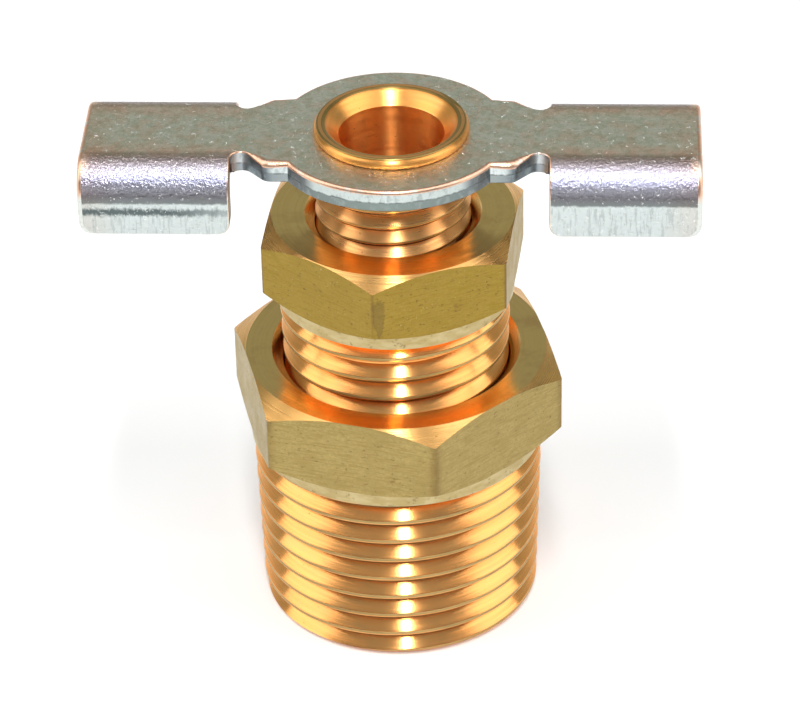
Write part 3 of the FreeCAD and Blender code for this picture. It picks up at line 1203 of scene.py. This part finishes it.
def makeStem(size):
    low, top = stemLow, stemTop
    headTop = low + size["headHeight"]
    waistTop = headTop + size["waistLength"]
    handleBottom = handleTop - wing["sheet"]
    bandLow = handleBottom - size["bandHeight"]
    threadRadius = size["thread"]["radius"]
    piece = threadRod("hollowStem", size["thread"], waistTop - overlap, bandLow + overlap)
    head = turned("head", [
        (size["headRadius"] - size["headChamfer"], low),
        (size["headRadius"], low + size["headChamfer"]),
        (size["headRadius"], headTop),
        (size["waistRadius"], headTop),
        (size["waistRadius"], waistTop),
    ])
    combine(piece, head, "UNION")
    rim = [(r, handleTop + z) for r, z in size["rim"]]
    neck = turned("neck", [
        (threadRadius - size["bandChamfer"], bandLow),
        (threadRadius, bandLow + size["bandChamfer"]),
        (threadRadius, handleBottom),
        (size["neckRadius"], handleBottom),
        (size["neckRadius"], handleTop),
    ] + rim)
    combine(piece, neck, "UNION")
    floor = low + size["boreFloor"]
    point = size["boreRadius"] / math.tan(math.radians(size["drillAngle"]))
    tip = 0.02
    # The countersink's edge is rounded over into the flat top
    soft, slope = size["mouthRound"], math.radians(45)
    roundOut = size["mouthRadius"] + tangentLength(soft, slope)
    lipSteps = 5
    lip = []
    for k in range(lipSteps):
        turn = slope * (1 - k / lipSteps)
        lip.append((roundOut - soft * math.sin(turn), top - soft + soft * math.cos(turn)))
    above = 0.0005  # past the top face, so that the cut leaves no skin
    bore = turned("bore", [
        (tip, floor - point),
        (size["boreRadius"], floor),
        (size["boreRadius"], top - size["mouthRadius"] + size["boreRadius"]),
        *lip,
        (roundOut, top + above),
        (roundOut + past, top + past),
    ], rounds=128)
    combine(piece, bore, "DIFFERENCE")
    portHeight = (ringTop + waistTop) / 2
    deselectAll()
    bpy.ops.mesh.primitive_cylinder_add(vertices=48, radius=size["portRadius"],
                                        depth=2 * size["headRadius"], location=(0, 0, portHeight),
                                        rotation=(0, math.radians(90), 0))
    combine(piece, claimNew("port"), "DIFFERENCE")
    looks = {"Thread": stemLook, "Bore": boreLook, "Rim": rimLook, "Crest": crestLook, "Root": shadedRootLook,
             "Bead": beadLook, "Sink": sinkLook}
    slots = addMaterials(piece, {part: turnedBrass("stem" + part, look) for part, look in looks.items()})
    mouth, ringLow = size["mouthRadius"], handleTop + size["ringLow"]
    near = 0.05
    sinkLeast, sinkMost = 0.3, 0.8  # how far the countersink looks up
    paintFaces(piece, slots["Bore"], lambda f: f.center.xy.length < mouth + near and
               f.center.z > headTop and f.normal.xy.dot(f.center.xy) < 0)
    paintFaces(piece, slots["Bead"], lambda f: f.center.z > handleTop and f.center.xy.length > mouth)
    paintFaces(piece, slots["Rim"], lambda f: f.center.z > ringLow and f.center.xy.length > mouth)
    paintFaces(piece, slots["Sink"], lambda f: f.material_index == slots["Bore"] and
               sinkLeast < f.normal.z < sinkMost)
    paintThread(piece, slots, size["thread"], waistTop, bandLow)
    return piece


finishPiece(makeStem(stem), "screw", "stem", smoothAngle=30)


# The ring on the valve head keeps its own solid
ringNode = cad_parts["seal_ring"]
ringNode.data.materials.clear()
ringNode.data.materials.append(sealRubber("sealRubber", rubberLook))
print("seal ring dressed")


# Floor: pale, and lifted to white where it is looked at or mirrored, with the shadow kept

floorLook = {
    "size": 3.0,
    "tint": (0.84, 0.84, 0.84),
    "rough": 0.7,
    "lift": 0.17,  # added where it is seen, up to white
}


def paleFloor(name, look):
    material, tree, shader = newMaterial(name, metallic=0)
    path = addNode(tree, "LightPath").outputs
    seen = calc("MAXIMUM", path["Is Camera Ray"], path["Is Glossy Ray"])
    seen = calc("MAXIMUM", seen, path["Is Transmission Ray"])
    setInputs(shader, {"Base Color": look["tint"], "Roughness": look["rough"], "Emission Color": (1, 1, 1),
                       "Emission Strength": times(seen, look["lift"])})
    return material


deselectAll()
bpy.ops.mesh.primitive_plane_add(size=floorLook["size"], location=(0, 0, 0))
floor = claimNew("floor")
floor.data.materials.append(paleFloor("paleFloor", floorLook))
print("floor laid")


# Light: two large soft panels over the left and right, a narrow strip over the front, and a pale room

softPanel = {"aim": (0, -0.05, 0.016), "size": (0.50, 0.85), "glow": 1.65}
lamps = {
    "leftPanel": {**softPanel, "place": (-0.50, -0.05, 0.50)},
    "rightPanel": {**softPanel, "place": (0.50, -0.05, 0.50)},
    "strip": {"aim": (0, 0, 0.016), "size": (0.044, 0.37), "glow": 42.0, "place": (0.02, -0.32, 0.525)},
}


# Turn that points a lamp or camera at something
def turnTo(place, aim):
    return (Vector(aim) - Vector(place)).to_track_quat("-Z", "Y")


def areaLight(name, panel):
    width, length = panel["size"]
    data = bpy.data.lights.new(name, "AREA")
    data.shape = "RECTANGLE"
    data.size = width
    data.size_y = length
    data.energy = math.pi * width * length * panel["glow"]
    lamp = bpy.data.objects.new(name, data)
    bpy.context.collection.objects.link(lamp)
    lamp.location = panel["place"]
    lamp.rotation_euler = turnTo(panel["place"], panel["aim"]).to_euler()


for name, panel in lamps.items():
    areaLight(name, panel)


# Brightness of the room by height, behind and beside the part and in front of it
room = {
    "around": [
        (0.0, (1, 1, 1)),
        (1.0, (0.75, 0.75, 0.75)),
        (0.1, (0.70, 0.72, 0.70)),
        (0.28, (0.34, 0.38, 0.34)),
        (0.55, (0.285, 0.325, 0.29)),
        (0.75, (0.2, 0.2, 0.2)),
        (0.92, (0.28, 0.28, 0.28)),
        (0.985, (0.6, 0.6, 0.6)),
    ],
    "front": [
        (0.0, (0.16, 0.16, 0.16)),
        (1.0, (0.75, 0.75, 0.75)),
        (0.3, (0.14, 0.14, 0.14)),
        (0.75, (0.40, 0.47, 0.52)),
        (0.92, (0.38, 0.45, 0.50)),
        (0.985, (0.6, 0.6, 0.6)),
    ],
    "frontStart": -0.25,  # along Y, of the way looked
    "frontFull": -0.6,
}
world = bpy.data.worlds.new("room")
world.use_nodes = True
bpy.context.scene.world = world
sky = world.node_tree
way = addNode(sky, "SeparateXYZ", {0: addNode(sky, "TexCoord").outputs["Generated"]})
towardsFront = fade(way.outputs["Y"], room["frontStart"], room["frontFull"])
around = colourRamp(way.outputs["Z"], 1.0, room["around"])
front = colourRamp(way.outputs["Z"], 1.0, room["front"])
sky.links.new(blend(towardsFront, around, front), sky.nodes["Background"].inputs["Color"])
print("lights and room set")


# Camera, at the photograph's angle

view = {
    "place": (0.01095, -0.20207, 0.15146),
    "aim": (0, 0, 0.01618),
    "roll": -1.287,
    "lens": 181.2,
    "sensor": 36,
    "nearest": 0.01,
    "shift": (0.0044, -0.0057),
}
cameraData = bpy.data.cameras.new("camera")
cameraData.lens = view["lens"]
cameraData.sensor_width = view["sensor"]
cameraData.sensor_fit = "HORIZONTAL"
cameraData.shift_x, cameraData.shift_y = view["shift"]
cameraData.clip_start = view["nearest"]
camera = bpy.data.objects.new("camera", cameraData)
bpy.context.collection.objects.link(camera)
camera.location = view["place"]
straight = turnTo(view["place"], view["aim"]).to_matrix()
roll = Matrix.Rotation(math.radians(view["roll"]), 3, "Z")
camera.rotation_euler = (straight @ roll).to_euler()
bpy.context.scene.camera = camera
bpy.context.scene.view_settings.view_transform = "Standard"
print("camera set")
